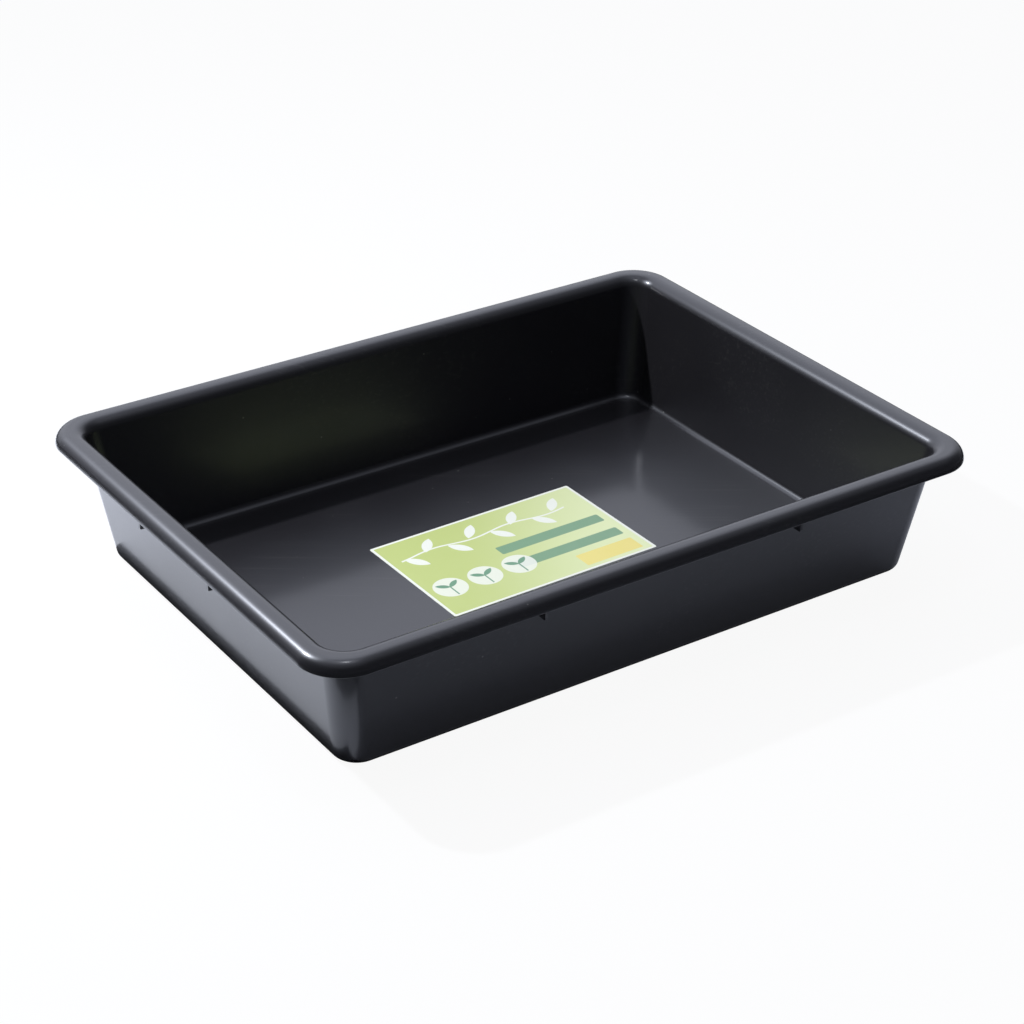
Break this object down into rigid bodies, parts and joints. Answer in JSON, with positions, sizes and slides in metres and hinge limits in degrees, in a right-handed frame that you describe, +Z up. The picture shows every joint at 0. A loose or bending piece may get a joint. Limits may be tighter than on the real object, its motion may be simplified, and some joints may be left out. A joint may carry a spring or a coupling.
{
  "type": "potting soil tray",
  "caption": "Rectangular black plastic potting tray with leaning walls, a rolled rim with stacking ribs under it, and a printed label on the floor.",
  "frame": {"origin": "middle of the underside, on the surface that the tray stands on", "axes": "+X along the long sides, +Y along the short sides, +Z up"},
  "size_m": [0.56, 0.418, 0.105],
  "materials": {
    "tray_plastic": "semi-gloss black polypropylene",
    "label_film": "printed film, satin"
  },
  "bodies": {
    "root": {"tray": "tray_plastic", "label": "label_film"}
  },
  "joints": []
}
